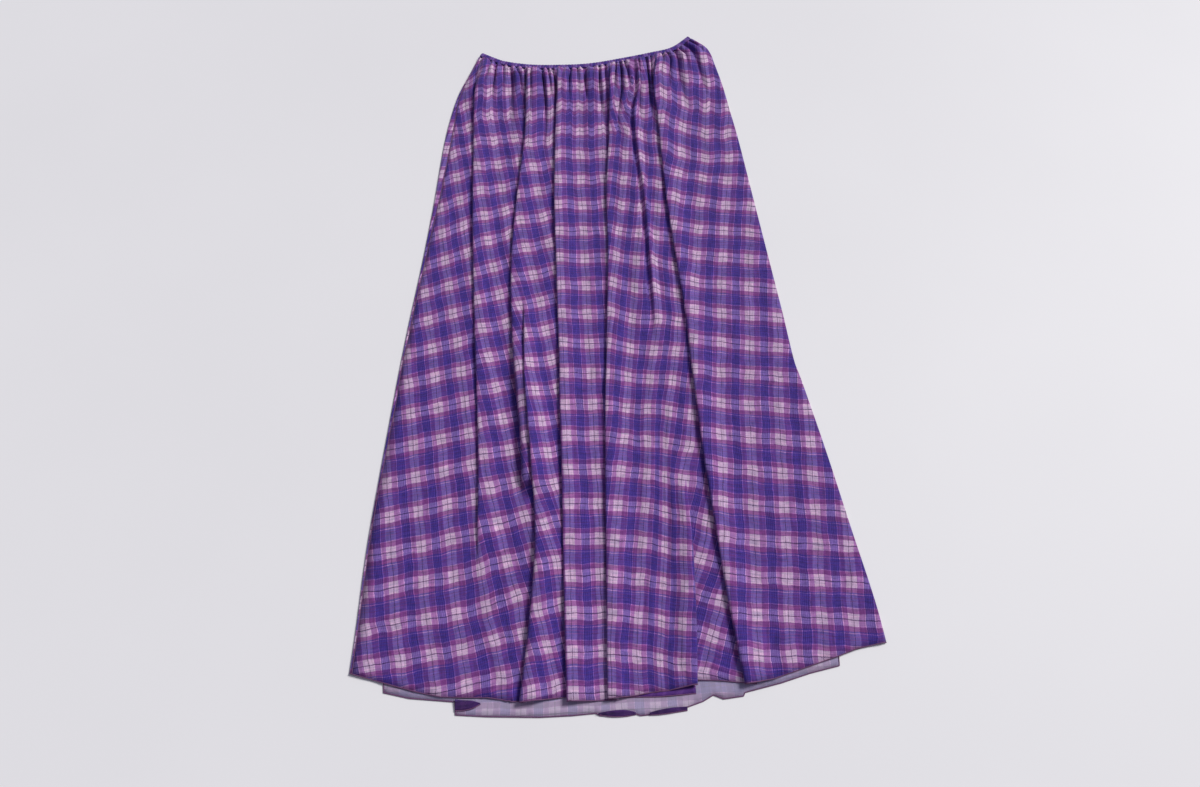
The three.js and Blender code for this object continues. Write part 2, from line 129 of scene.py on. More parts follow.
# The valley is an open trough between two ridges, and the left one leans over it.
VALLEY_DEPTH = 6.5
VALLEY_HALF_WIDTH = 7
VALLEY_LEAN = 3.0
VALLEY_RIDGE = 5.6
VALLEY_STRENGTH = [(460, 0.2), (400, 1), (60, 0.9), (-40, 0)]
print("folds:", len(FOLDS))

# %% The gathers of each panel
# Each gather is its place across the panel, its depth, and how far down it reaches.
PANELS = [
    ("side_seam", "fold_b", [(0.25, 0, 60), (0.75, 0.6, 60)]),
    ("fold_b", "fold_c", [
        (0.1, 2.0, 50), (0.26, 3.0, 70), (0.43, 1.8, 40), (0.59, 4.2, 105), (0.76, 1.9, 45),
        (0.92, 3.4, 90)]),
    ("fold_c", "fold_d", [(0.5, 2.2, 70)]),
    ("fold_d", "fold_e", [(0.25, 3.9, 130), (0.58, 2.4, 55), (0.85, 3.0, 80)]),
    ("fold_e", "fold_f", [
        (0.08, 1.4, 30), (0.22, 3.2, 65), (0.37, 1.6, 35), (0.52, 3.4, 60), (0.66, 1.3, 30),
        (0.79, 4.2, 125), (0.93, 2.0, 45)]),
    ("fold_f", "valley", [(0.15, 2.2, 60), (0.45, 3.9, 100), (0.8, 2.4, 60)]),
    ("valley", "fold_g", [(0.3, 2.1, 60), (0.75, 2.7, 90)]),
    ("fold_g", "fold_h", [(0.3, 3.3, 90), (0.75, 2.4, 60)]),
    ("fold_h", "right_side", [
        (0.08, 1.6, 40), (0.24, 3.0, 60), (0.42, 4.2, 100), (0.58, 1.5, 35), (0.75, 3.6, 80),
        (0.92, 1.4, 30)]),
]
print("gathers:", sum(depth > 0 for _, _, gathers in PANELS for _, depth, _ in gathers))

# %% The two hems
# The front hem steps where a fold ends. The back hem shows below it.
FRONT_HEM = [
    (-301, -442), (-263, -453.7), (-222, -466), (-197, -471.7), (-152, -474.8), (-130, -478),
    (-112, -482), (-86, -479.4), (-62, -477.5), (-58, -483.2), (-17, -483.8), (-13, -482.4),
    (21, -480.1), (47, -476.5), (83, -471.8), (86, -465.8), (112, -468.4), (137, -474),
    (169, -469.3), (214, -456.8), (247, -447.8), (270, -440.5), (302, -435.5),
]
BACK_HEM = [
    (-301, -438), (-264, -450), (-263, -464.1), (-234, -471.5), (-184, -477.5), (-183, -491.3),
    (-149, -494.6), (-91, -497.9), (-55, -497.8), (-29, -496.6), (-24, -499.6), (15, -499.2),
    (20, -501.3), (70, -498.2), (72, -494.7), (90, -489.4), (102, -483.2), (113, -488),
    (135, -485.9), (137, -482.2), (179, -473.8), (212, -465), (246, -458.3), (247, -446), (301, -434),
]

# %% Cloth thickness and heights
CLOTH = 0.5
# The wall and the gap are those of the solids, and the cloth lies in the middle of the wall.
WALL = 1.0
GAP = 0.3
BAND_WIDTH = 8.0
BAND_WALL = 3.0
# The gathers lift the front off the back at the waist, and less so at the sides.
BULK_AT_WAIST = 1.2
LIFT_AT_WAIST = 5.0
LIFT_AT_SIDE = 0.29
WAIST_REACH = 110
SIDE_EASE = 12
EDGE_RISE = 0.5

# %% Curves through a table
def ease(share):
    t = np.clip(share, 0.0, 1.0)
    return t * t * (3 - 2 * t)


def lerp(a, b, share):
    return a + (b - a) * share


def straight(table, key):
    """Straight stretches between a table's (key, value) rows."""
    keys, values = zip(*sorted(table))
    return np.interp(key, keys, values)


def smooth(table, key):
    """A curve through a table's (key, value) rows, straight past its ends."""
    keys, values = (np.array(column, float) for column in zip(*sorted(table)))
    slopes = np.empty_like(values)
    slopes[1:-1] = (values[2:] - values[:-2]) / (keys[2:] - keys[:-2])
    slopes[0] = (values[1] - values[0]) / (keys[1] - keys[0])
    slopes[-1] = (values[-1] - values[-2]) / (keys[-1] - keys[-2])
    key = np.asarray(key, float)
    row = np.clip(np.searchsorted(keys, key) - 1, 0, len(keys) - 2)
    span = keys[row + 1] - keys[row]
    t = (key - keys[row]) / span
    inside = np.clip(t, 0.0, 1.0)
    rise = values[row + 1] - values[row]
    bend_a = slopes[row] * span - rise
    bend_b = rise - slopes[row + 1] * span
    bend = inside * (1 - inside) * ((1 - inside) * bend_a + inside * bend_b)
    curve = lerp(values[row], values[row + 1], inside) + bend
    below = np.minimum(t, 0.0) * span * slopes[0]
    above = np.maximum(t - 1, 0.0) * span * slopes[-1]
    return curve + below + above


LINE_TABLES = {name: list(zip(HEIGHTS, places)) for name, places in LINES.items()}


def line_x(name, y):
    return smooth(LINE_TABLES[name], y)


# %% The edge below the waistband
def below_waist(x, distance):
    slope = (smooth(WAIST, x + 1) - smooth(WAIST, x - 1)) / 2
    length = np.hypot(1, slope)
    return x + slope / length * distance, smooth(WAIST, x) - distance / length


WAIST_POINTS = 161
waist_places = np.linspace(WAIST[0][0], WAIST[-1][0], WAIST_POINTS)
top_x, top_y = below_waist(waist_places, BAND_WIDTH + GAP)
PANEL_TOP = list(zip(top_x, top_y))


def near_waist(x, y):
    return 1 - ease((straight(PANEL_TOP, x) - y) / WAIST_REACH)


def back_thickness(x, y):
    return WALL + BULK_AT_WAIST * near_waist(x, y)


def lift(x, y):
    from_side = np.minimum(x - line_x("side_seam", y), line_x("right_side", y) - x)
    share = lerp(LIFT_AT_SIDE, 1, ease(from_side / SIDE_EASE))
    return LIFT_AT_WAIST * share * near_waist(x, y)


def front_height(x, y, above):
    lowest = WALL + GAP + WALL / 2
    return np.maximum(lowest + above + lift(x, y), back_thickness(x, y) + GAP + WALL / 2)


# %% Where each line starts and ends
# A line meets the waist and the hem at heights that depend on each other, so they are found by
# going half way nearer many times.
TRIES = 60
ENDS = {}
for name in LINES:
    top, bottom = top_y[0], HEIGHTS[-1]
    for _ in range(TRIES):
        top = lerp(top, straight(PANEL_TOP, line_x(name, top)), 0.5)
        bottom = lerp(bottom, straight(FRONT_HEM, line_x(name, bottom)), 0.5)
    ENDS[name] = (float(top), float(bottom))


def line_y(name, share):
    return lerp(*ENDS[name], share)


print("length of fold_f, mm:", round(ENDS["fold_f"][0] - ENDS["fold_f"][1]))

# %% [markdown]
# ## The shape of a fold
#
# A fold in cloth is an S: the lower cloth turns back on itself, runs back under the upper
# cloth, and turns again at the crest. Its section is two arcs joined by a straight, and the
# angle that the arcs turn through is what makes it strong or weak. Where the fold dies out, the
# angle falls to nothing and the same cloth lies flat.

# %% A fold's section
TURN_STEPS = 4
UNDER_TURN = 0.8
LEAST_TURN = 0.02
LEAST_LAP = 0.6


def fold_section(strength, lap, crest_turn):
    """(x, z) from the lower cloth to the upper, with the crest at x = 0."""
    angle = math.pi * min(max(2 * strength, LEAST_TURN), 1)
    middle = lerp(LEAST_LAP, lap, min(max(2 * strength - 1, 0), 1))
    under = math.pi * UNDER_TURN / angle
    crest = math.pi * crest_turn / angle
    steps = np.linspace(0, angle, TURN_STEPS + 1)
    low = np.column_stack((under * np.sin(steps), under * (1 - np.cos(steps))))
    start = low[-1] + middle * np.array((math.cos(angle), math.sin(angle)))
    back = steps[::-1]
    high = np.column_stack((
        start[0] + crest * (math.sin(angle) - np.sin(back)),
        start[1] + crest * (np.cos(back) - math.cos(angle)),
    ))
    points = np.vstack((low, high))
    points[:, 0] -= start[0] + crest * (math.sin(angle) - math.sin(min(angle, math.pi / 2)))
    rise = 2 * (UNDER_TURN + crest_turn) * min(2 * strength, 1)
    points[:, 1] *= rise / points[-1, 1]
    return points


# %% The valley's section
# Shares of the half width: the flat floor, the side that rises from it, and where the lean starts.
VALLEY_POINTS = 9
VALLEY_FLOOR = 0.3
VALLEY_SIDE = 0.5
LEAN_FROM = 0.2


def valley_section(strength):
    high = VALLEY_RIDGE * strength
    floor = max(0, high - VALLEY_DEPTH * strength)
    across = np.linspace(-1, 1, VALLEY_POINTS)
    dip = 1 - ease((abs(across) - VALLEY_FLOOR) / VALLEY_SIDE)
    lean = VALLEY_LEAN * strength * ease((-across - LEAN_FROM) / VALLEY_SIDE)
    return np.column_stack((across * VALLEY_HALF_WIDTH + lean, lerp(high, floor, dip)))


def line_section(name, y):
    """A line's section at one height, and its strength there."""
    if name == "valley":
        strength = float(straight(VALLEY_STRENGTH, y))
        return valley_section(strength), strength
    if name not in FOLDS:
        return np.array([(0.0, EDGE_RISE)]), 1.0
    over, lap, table = FOLDS[name]
    strength = float(straight(table, y))
    crest_turn = float(straight(FULLER_CRESTS.get(name, CREST_TURN), y))
    section = fold_section(strength, lap, crest_turn)
    if over == "left":
        section = section[::-1] * (-1, 1)
    return section, strength


# %% [markdown]
# ## Placing the plaid
#
# The stripes are woven in, so the plaid moves with the cloth: it leans where the cloth leans and
# jumps where a fold hides some of it. Each panel between two folds has a short table of pale
# squares, with the column and row of the plaid that each one is in. Between them the plaid
# coordinates are worked out in steps of one repeat, and they are kept as a UV map.

# %% Pale squares of each panel
# x, y, column, row, the repeat across in mm, and the slope of the rows there. Where the rows
# bend at a square, the slope to its left is followed by the slope to its right.
BESIDE_VALLEY = [
    (75, 434, 11, 10, 24, -0.1), (82, 394, 11, 9, 24, -0.1), (72, 304, 11, 7, 25, -0.2),
    (97, 260, 12, 6, 25, -0.2), (88, 178, 12, 4, 27, -0.2), (77, 87, 12, 2, 28, -0.35),
    (77, -2, 12, 0, 26, -0.25), (68, -49, 12, -1, 28, -0.1), (79, -137, 13, -3, 29, -0.25),
]
PLAID = {
    "side_seam": [
        (-185, 374, 2, 9, 28, 0.35), (-201, 285, 1, 7, 29, 0.38), (-190, 202, 1, 5, 29, 0.4),
        (-209, 102, 0, 3, 33, 0.35), (-189, -26, 0, 0, 34, 0.23), (-207, -163, -1, -3, 35, 0.2),
        (-227, -299, -2, -6, 35, 0.16), (-218, -386, -2, -8, 35, 0.13), (-170, -462, -1, -10, 35, 0.14),
    ],
    "fold_b": [
        (-148, 436, 4, 10, 26, 0.1), (-149, 350, 4, 8, 31, 0.08), (-136, 263, 4, 6, 31, 0.15),
        (-150, 131, 3, 3, 30, 0.37), (-157, -9, 2, 0, 33, 0.24), (-130, -139, 2, -3, 32, 0.2),
        (-146, -231, 1, -5, 33, 0.2), (-125, -323, 1, -7, 34, 0.2), (-150, -374, 0, -8, 36, 0.25),
        (-140, -413, 0, -9, 33, 0.18), (-132, -455, 0, -10, 33, 0.15),
    ],
    "fold_c": [
        (-92, 296, 6, 6, 31, 0.24), (-80, 212, 6, 4, 31, 0.24), (-99, 116, 5, 2, 33, 0.24),
        (-91, 73, 5, 1, 32, 0.24), (-108, -68, 3, -2, 32, 0.22), (-101, -170, 3, -4, 32, 0.2),
        (-104, -268, 2, -6, 32, 0.2), (-125, -323, 1, -7, 34, 0.2), (-114, -364, 1, -8, 35, 0.25),
        (-108, -407, 1, -9, 33, 0.18), (-132, -455, 0, -10, 33, 0.15),
    ],
    "fold_d": [
        (-56, 434, 7, 9, 30, 0.2), (-89, 350, 6, 7, 30, 0.1), (-92, 296, 6, 6, 31, 0.24),
        (-80, 212, 6, 4, 31, 0.24), (-66, 124, 6, 2, 33, 0.24), (-80, 30, 5, 0, 31, 0.24),
        (-67, -59, 5, -2, 29, 0.24), (-81, -147, 4, -4, 28, 0.24), (-68, -230, 4, -6, 28, 0.24),
        (-67, -326, 3, -8, 28, 0.2), (-90, -382, 2, -9, 28, 0.2), (-71, -466, 2, -11, 28, 0.2),
    ],
    "fold_e": [
        (-13, 398, 8, 9, 33, 0), (-15, 362, 8, 8, 32, 0), (-18, 275, 8, 6, 33, 0), (-18, 8, 8, 0, 34, 0),
        (-15, -256, 8, -6, 35, 0), (-18, -475, 8, -11, 35, 0),
    ],
    "fold_f": [
        (38, 405, 10, 9, 18, -0.2), (42, 356, 10, 8, 22, -0.2), (53, 314, 10, 7, 26, -0.25),
        (37, 180, 10, 4, 28, -0.28), (19, 54, 10, 1, 29, -0.3), (42, -2, 11, 0, 30, -0.3),
        (36, -46, 11, -1, 30, -0.2),
        (26, -131, 11, -3, 27, -0.12), (14, -218, 11, -5, 34, -0.1), (2, -304, 11, -7, 33, -0.1),
        (-6, -392, 11, -9, 31, -0.1), (-10, -436, 11, -10, 30, -0.1),
    ],
    "valley": [
        *BESIDE_VALLEY,
        (64, -226, 13, -5, 22, -0.2), (63, -272, 13, -6, 22, -0.2), (53, -358, 13, -8, 27, -0.15),
        (42, -445, 13, -10, 27, -0.15),
    ],
    "fold_g": [
        *BESIDE_VALLEY,
        (104, -188, 14, -4, 30, -0.2), (115, -284, 15, -6, 40, -0.34), (102, -330, 15, -7, 40, -0.34),
        (121, -380, 16, -8, 42, -0.34), (93, -460, 16, -10, 42, -0.34),
    ],
    "fold_h": [
        (179, 403, 15, 9, 33, -0.3, 0), (174, 355, 15, 8, 33, -0.35, 0), (167, 305, 15, 7, 34, -0.4, 0),
        (163, 259, 15, 6, 35, -0.4, 0), (191, 219, 16, 5, 36, -0.25, -0.05), (177, 133, 16, 3, 36, -0.13),
        (165, 46, 16, 1, 37, -0.12),
        (192, -49, 17, -1, 37, -0.15), (182, -134, 17, -3, 37, -0.12), (175, -223, 17, -5, 37, -0.14),
        (168, -310, 17, -7, 37, -0.12), (156, -443, 17, -10, 37, -0.08),
    ],
}
REPEAT_DOWN = 43.8
REPEAT_ACROSS = 37.0
print("pale squares:", sum(len(squares) for squares in PLAID.values()))


def plaid_in(panel, x, y):
    """Column and row of the plaid, in repeats, at points of one panel."""
    squares = [(*square, square[5])[:7] for square in PLAID[panel]]
    table = np.array(sorted(squares, key=lambda square: square[1]), float)
    place = np.interp(y, table[:, 1], np.arange(len(table)))
    low = np.clip(place.astype(int), 0, len(table) - 2)
    share = place - low
    answer = []
    for row in (table[low], table[low + 1]):
        across = x - row[:, 0]
        column = row[:, 2] + across / row[:, 4]
        slope = np.where(across < 0, row[:, 5], row[:, 6])
        answer.append((column, row[:, 3] + (y - row[:, 1] - slope * across) / REPEAT_DOWN))
    return lerp(answer[0][0], answer[1][0], share), lerp(answer[0][1], answer[1][1], share)


# %% [markdown]
# ## The front panel
#
# The front is one sheet of cloth. It starts as a flat grid whose columns run down the skirt and
# whose rows run across it, closer together near the waist where the gathers are. Each row is
# then laid over the folds and gathers. A cloth simulation would find its own folds, and these
# have to be the ones in the photograph, so they are given one by one.

# %% Columns of one gather
# How much deeper and longer a gather is than its row in the table says, and how sharp its valley.
DEEPER = 3.4
LONGER = 1.5
SHARPNESS = 1.8
# Columns from one ridge to the next, as shares of the way out from the valley between them.
GATHER_OFFSETS = [-1.0, -0.62, -0.34, -0.14, 0.0, 0.14, 0.34, 0.62]


def gather_columns(gathers):
    """Place across, depth and length of each column of a panel."""
    columns = []
    for i, (place, depth, length) in enumerate(gathers):
        left = 0.0 if i == 0 else (place + gathers[i - 1][0]) / 2
        right = 1.0 if i == len(gathers) - 1 else (place + gathers[i + 1][0]) / 2
        for offset in GATHER_OFFSETS:
            across = lerp(place, left if offset < 0 else right, abs(offset))
            dip = DEEPER * depth * (1 - abs(offset)) ** SHARPNESS
            columns.append((across, dip, LONGER * length))
    return np.array(columns[1:])


# %% The turn round a side
SIDE_TUCK = 0.6


def side_turn(name, share):
    """The middle of the turn that carries the cloth round a side, and its radius."""
    y = line_y(name, share)
    x = line_x(name, y)
    radius = (float(front_height(x, y, EDGE_RISE)) - WALL / 2) / 2
    inward = (1 if name == "left_side" else -1) * (radius + WALL / 2)
    top, bottom = ENDS[name]
    inset = min(top, straight(PANEL_TOP, line_x(name, top) + inward)) - 2 * GAP
    return radius, float(x + inward), float(lerp(inset, bottom, share))


# %% Columns of one row
# How far a crest slopes down on each side, and the most of a panel that a slope takes up.
CREST_SLOPE = 36
SLOPE_ROOM = 0.95
# How far the two ends of a fold's turn are apart at the hem.
HEM_SPREAD = 2.5


def front_columns(share):
    """Each column at one share of the way down: x, rise, hem x, gather depth and length, panel, turn."""
    found = []
    seam_x = float(line_x("side_seam", line_y("side_seam", share)))
    seam_hem = float(line_x("side_seam", ENDS["side_seam"][1]))
    found.append(np.array([[seam_x, EDGE_RISE, seam_hem, 0, 1, 0, -1]]))
    lines = []
    carried_x, carried_rise = 0.0, 0.0
    for p, (start, end, gathers) in enumerate(PANELS):
        y0, y1 = line_y(start, share), line_y(end, share)
        section0, _ = line_section(start, y0)
        section1, strength = line_section(end, y1)
        start_x, start_rise = float(line_x(start, y0)) + section0[-1][0], section0[-1][1]
        # The narrow panel has no room for the slope of its own crest, so the next panel carries it on.
        narrow = start == "fold_c"
        if narrow:
            carried_x, carried_rise = start_x, start_rise
            start_rise = 0.0
        last = end == "right_side"
        end_x = side_turn(end, share)[1] if last else float(line_x(end, y1)) + section1[0][0]
        end_rise = EDGE_RISE if last else section1[0][1]
        slope = CREST_SLOPE if narrow else min(CREST_SLOPE, SLOPE_ROOM * (end_x - start_x))
        across, depth, length = gather_columns(gathers).T
        x = lerp(start_x, end_x, across)
        rise = start_rise * (1 - ease((x - start_x) / slope)) + end_rise * (1 - ease((end_x - x) / slope))
        rise = rise + carried_rise * (1 - ease((x - carried_x) / CREST_SLOPE))
        hem0 = float(line_x(start, ENDS[start][1]))
        hem1 = float(line_x(end, ENDS[end][1]))
        hem = lerp(hem0, hem1, across)
        same = np.full_like(x, p)
        found.append(np.column_stack((x, rise, hem, depth, length, same, np.full_like(x, -1))))
        if last:
            break
        if not narrow:
            carried_rise = 0.0
        place = float(line_x(end, y1))
        lines.append((end, place, strength))
        count = len(section1)
        turn_share = np.linspace(0, 1, count)
        hem = hem1 + np.where(turn_share < 0.5, -HEM_SPREAD, HEM_SPREAD)
        zero = np.zeros(count)
        x = place + section1[:, 0]
        rise = section1[:, 1] + carried_rise * (1 - ease((x - carried_x) / CREST_SLOPE))
        found.append(np.column_stack((x, rise, hem, zero, zero + 1, zero + p, turn_share)))
    return np.vstack(found), lines


print("columns of the front:", len(front_columns(0.5)[0]))

# %% The plaid across one row
# How far each side of a fading fold the two panels' plaids are blended, at most and at least.
HIDDEN_BLEND = 24.0
LEAST_BLEND = 0.01
# Where on a fold's turn the plaid changes over, so that the change stays under the upper cloth.
CHANGE_FROM = {"right": 0.1, "left": 0.45}
CHANGE_LENGTH = 0.45


def plaid_across(columns, lines, x, y):
    """Plaid coordinates of a row, blended from panel to panel inside the folds or where they fade."""
    panel, turn_share = columns[:, 5], columns[:, 6]
    u, v = plaid_in("side_seam", x, y)
    for number, (line, place, strength) in enumerate(lines):
        if line == "valley":
            reach = lerp(HIDDEN_BLEND, VALLEY_HALF_WIDTH, strength)
            fade = 1.0
        else:
            fade = 1 - min(2 * strength, 1)
            reach = LEAST_BLEND + HIDDEN_BLEND * fade
        by_place = ease((x - place + reach) / (2 * reach))
        on_turn = (panel == number) & (turn_share >= 0)
        over = FOLDS[line][0] if line in FOLDS else "right"
        by_turn = ease((turn_share - CHANGE_FROM[over]) / CHANGE_LENGTH)
        weight = np.where(on_turn, lerp(by_turn, by_place, fade), by_place)
        if fade < 1:
            before = (panel < number) | ((panel == number) & (turn_share < 0))
            side = np.where(before, 0.0, 1.0)
            weight = np.where(on_turn, weight, lerp(side, by_place, fade))
        next_u, next_v = plaid_in(line, x, y)
        last_u, last_v = plaid_in(("side_seam", *[name for name, _, _ in lines])[number], x, y)
        u = u + weight * (next_u - last_u)
        v = v + weight * (next_v - last_v)
    return u, v


# %% Small creases near the waist
RIPPLE_HEIGHT = 0.9
RIPPLE_REACH = 18.0
RIPPLE_SPACING = 6.5
# Waves that make the creases uneven, each as its height, its length and where it starts.
RIPPLE_WANDER = [(1.3, 11.0, 0.0), (0.9, 4.7, 1.0)]


def waves(place, parts, middle=0.0):
    """A middle value with some waves added to it."""
    return sum((height * np.sin(place / length + start) for height, length, start in parts), middle)


def waist_ripple(start_x, below):
    """Fine puckers where the stitching draws the cloth up."""
    wave = np.sin(2 * math.pi * start_x / RIPPLE_SPACING + waves(start_x, RIPPLE_WANDER))
    return RIPPLE_HEIGHT * wave * np.exp(-below / RIPPLE_REACH)


# %% The lean of each gather
SWAY = 1.3
SWAY_REACH = 70


def gather_sway(start_x, below):
    """How far a gather leans to one side on its way down, by two waves that cross."""
    lean = np.sin(start_x / 9.0 + below / 30.0) + 0.6 * np.sin(start_x / 5.3 - below / 21.0)
    return SWAY * lean * np.exp(-below / SWAY_REACH)


# %% Soft troughs that the folds leave between them
# Each has its place at some heights, its depth, its half width, and its strength at some heights.
TROUGHS = [
    ([(-110, 41), (-170, 37), (-260, 30), (-310, 25), (-400, 19)], 1.6, 9,
     [(-90, 0), (-140, 1), (-310, 1), (-400, 0)]),
    ([(-100, 72), (-170, 68), (-230, 67), (-300, 64)], 1.6, 9, [(-90, 0), (-130, 1), (-240, 1), (-310, 0)]),
    ([(-420, -103), (-485, -112)], 1.2, 6, [(-400, 0), (-430, 1), (-485, 0.8)]),
    ([(380, 150), (300, 143), (200, 128), (100, 120)], 1.2, 12, [(400, 0), (350, 1), (200, 0.8), (80, 0)]),
]


def trough_depth(x, y):
    depth = np.zeros_like(x)
    for places, deep, half_width, strength in TROUGHS:
        offset = np.clip(abs(x - smooth(places, y)) / half_width, 0, 1)
        depth += deep * np.cos(offset * math.pi / 2) ** 2 * straight(strength, y)
    return depth


# %% Faint flutes that run down the cloth between the folds
FLUTE_HEIGHT = 1.0
FLUTE_MIDDLE = 0.4


def flutes(u, v):
    """Soft ridges at uneven distances, which wander a little on their way down."""
    sway = 0.5 * np.sin(0.7 * v + 0.9) + 0.35 * np.sin(1.9 * v + 0.4 * u)
    wave = np.sin(2 * math.pi * 1.35 * u + 3 * sway) + 0.7 * np.sin(2 * math.pi * 0.58 * u - 2 * sway + 1.3)
    return FLUTE_HEIGHT * np.clip(FLUTE_MIDDLE + 0.45 * wave, 0, 1.2)


# %% One row of the front panel
# The cloth swells up between the band and this far below it, in puffs of uneven size.
FULLNESS = 6.0
FULLNESS_REACH = 150.0
SWELL_LENGTH = 20
SWELL_AT_BAND = 0.1
PUFFS = [(0.22, 6.1, 0.8), (0.18, 14.3, 0.0)]
# The rows of the plaid sag in the gathers' valleys, and wave over the flutes.
ROW_SAG = 8.0
ROW_SAG_REACH = 230.0
SAG_DEPTH = 3.0
ROW_WAVE = [(0, 0.08), (120, 0.08), (420, 0.02), (1000, 0.02)]
# Next to the sides the cloth stays flat.
CALM_SIDE = 25
SIDE_STEPS = 6
first_columns = front_columns(0)[0]
start_x = first_columns[:, 0]
start_y = straight(PANEL_TOP, start_x)


def front_row(share):
    columns, lines = front_columns(share)
    x, rise, hem, depth, length = columns[:, :5].T
    y = lerp(start_y, straight(FRONT_HEM, hem), share)
    below = start_y - y
    dip = depth * (1 - ease(below / length))
    from_side = np.minimum(x - x[0], x[-1] - x)
    calm = ease(from_side / CALM_SIDE)
    swell = lerp(SWELL_AT_BAND, 1, ease(below / SWELL_LENGTH)) * (1 - ease(below / FULLNESS_REACH))
    full = FULLNESS * waves(start_x, PUFFS, middle=1) * calm * swell
    x = x + gather_sway(start_x, below) * calm
    u, v = plaid_across(columns, lines, x, y)
    in_valley = np.clip(depth / (SAG_DEPTH * DEEPER), 0, 1)
    v = v - ROW_SAG / REPEAT_DOWN * in_valley * (1 - ease(below / ROW_SAG_REACH))
    fluted = flutes(u, v)
    above = rise + full - dip + waist_ripple(start_x, below) - trough_depth(x, y) + fluted
    v = v + straight(ROW_WAVE, below) * (fluted / FLUTE_HEIGHT - FLUTE_MIDDLE)
    z = front_height(x, y, above)
    radius, side_x, side_y = side_turn("right_side", share)
    angle = np.linspace(0, math.pi, SIDE_STEPS + 1)
    turn_x = side_x + radius * np.sin(angle)
    turn_z = WALL / 2 + radius * (1 + np.cos(angle))
    turn_x = np.append(turn_x, side_x - SIDE_TUCK)
    turn_z = np.append(turn_z, WALL / 2)
    turn_y = np.full_like(turn_x, side_y)
    x, y, z = np.append(x, turn_x), np.append(y, turn_y), np.append(z, turn_z)
    around = np.append(radius * angle, radius * math.pi + SIDE_TUCK)
    edge_u, edge_v = plaid_in("fold_h", np.full_like(around, side_x), turn_y)
    u, v = np.append(u, edge_u + around / REPEAT_ACROSS), np.append(v, edge_v)
    return np.column_stack((x, y, z, u, v))


print("points in a row of the front:", len(front_row(0.5)))

# %% [markdown]
# ## From rows of points to cloth
#
# Blender's grid operator makes the flat sheet, and each of its corners is then moved to its
# place. The plaid coordinates go into a UV map, because that is what stays with the cloth when
# the mesh is exported. A Solidify modifier gives the cloth its thickness, and puts a second
# material on its inner face, where a dyed plaid shows paler.

# %% A sheet of cloth from its rows
def cloth_sheet(name, rows, flip=False):
    """A sheet through rows of (x, y, z, u, v) in mm, waist first."""
    rows = np.array(rows)
    down, across = rows.shape[:2]
    bm = bmesh.new()
    bmesh.ops.create_grid(bm, x_segments=across - 1, y_segments=down - 1, size=0.5)
    plaid = bm.loops.layers.uv.new("plaid")
    at = {}
    for corner in bm.verts:
        column = round((corner.co.x + 0.5) * (across - 1))
        row = round((0.5 - corner.co.y) * (down - 1))
        at[corner] = rows[row, column]
    for corner, point in at.items():
        corner.co = Vector(point[:3]) * MM
    for face in bm.faces:
        face.smooth = True
        for loop in face.loops:
            loop[plaid].uv = at[loop.vert][3:]
    if flip:
        bmesh.ops.reverse_faces(bm, faces=bm.faces)
    mesh = bpy.data.meshes.new(name)
    bm.to_mesh(mesh)
    bm.free()
    piece = bpy.data.objects.new(name, mesh)
    bpy.context.scene.collection.objects.link(piece)
    thickness = piece.modifiers.new("cloth thickness", "SOLIDIFY")
    thickness.thickness = CLOTH * MM
    thickness.offset = 0
    thickness.material_offset = 1
    return piece


# %% The front cloth
# The rows are closer together in this top share of the skirt.
NEAR_WAIST = 0.13


def row_shares(near, far):
    """Shares of the way down, close together near the waist and wider below."""
    top = np.linspace(0, NEAR_WAIST, near, endpoint=False)
    return np.append(top, np.linspace(NEAR_WAIST, 1, far))


front = cloth_sheet("front_cloth", [front_row(share) for share in row_shares(34, 105)])
print("front cloth faces:", len(front.data.polygons))

# %% [markdown]
# ## The back panel
#
# The back lies flat on the table under the front, so most of it shows only from below. On the
# left it turns up and over to the seam, and its hem shows below the front one, with its paler
# inner face upwards. The plaid on it is straight, because it lies unfolded.

# %% Columns and rows of the back
BACK_SPACING = 5.0
BACK_PLAID_SHIFT = 0.3


def finer(table, spacing):
    """The same line with more points on its straight stretches."""
    points = [table[0]]
    for (x0, y0), (x1, y1) in zip(table, table[1:]):
        steps = math.ceil((x1 - x0) / spacing)
        points += [(lerp(x0, x1, s / steps), lerp(y0, y1, s / steps)) for s in range(1, steps + 1)]
    return np.array(points, float)


hem_points = finer(BACK_HEM, BACK_SPACING)
hem_share = (hem_points[:, 0] - hem_points[0, 0]) / (hem_points[-1, 0] - hem_points[0, 0])
top_left = side_turn("left_side", 0)[1]
top_right = side_turn("right_side", 0)[1] - SIDE_TUCK - GAP


def back_row(share):
    radius, left_x, left_y = side_turn("left_side", share)
    _, right_x, right_y = side_turn("right_side", share)
    right_x -= SIDE_TUCK + GAP
    seam_y = line_y("side_seam", share)
    seam_x = float(line_x("side_seam", seam_y)) - GAP
    angle = np.linspace(0, math.pi, SIDE_STEPS, endpoint=False)
    x = np.append(seam_x, left_x - radius * np.sin(angle))
    y = np.append(seam_y, np.full(SIDE_STEPS, left_y))
    z = np.append(WALL / 2 + 2 * radius, WALL / 2 + radius * (1 + np.cos(angle)))
    flat_x = lerp(left_x, right_x, hem_share)
    from_top = straight(PANEL_TOP, lerp(top_left, top_right, hem_share)) - GAP
    flat_y = lerp(from_top, hem_points[:, 1], share)
    flat_y[0], flat_y[-1] = left_y, right_y
    x, y = np.append(x, flat_x), np.append(y, flat_y)
    z = np.append(z, np.full(len(flat_x), WALL / 2))
    step = np.hypot(np.diff(x), np.diff(z))
    along_cloth = np.insert(np.cumsum(step), 0, 0.0)
    turn_end = along_cloth[SIDE_STEPS + 1]
    u = (along_cloth - turn_end + left_x) / REPEAT_ACROSS
    return np.column_stack((x, y, z, u, y / REPEAT_DOWN + BACK_PLAID_SHIFT))


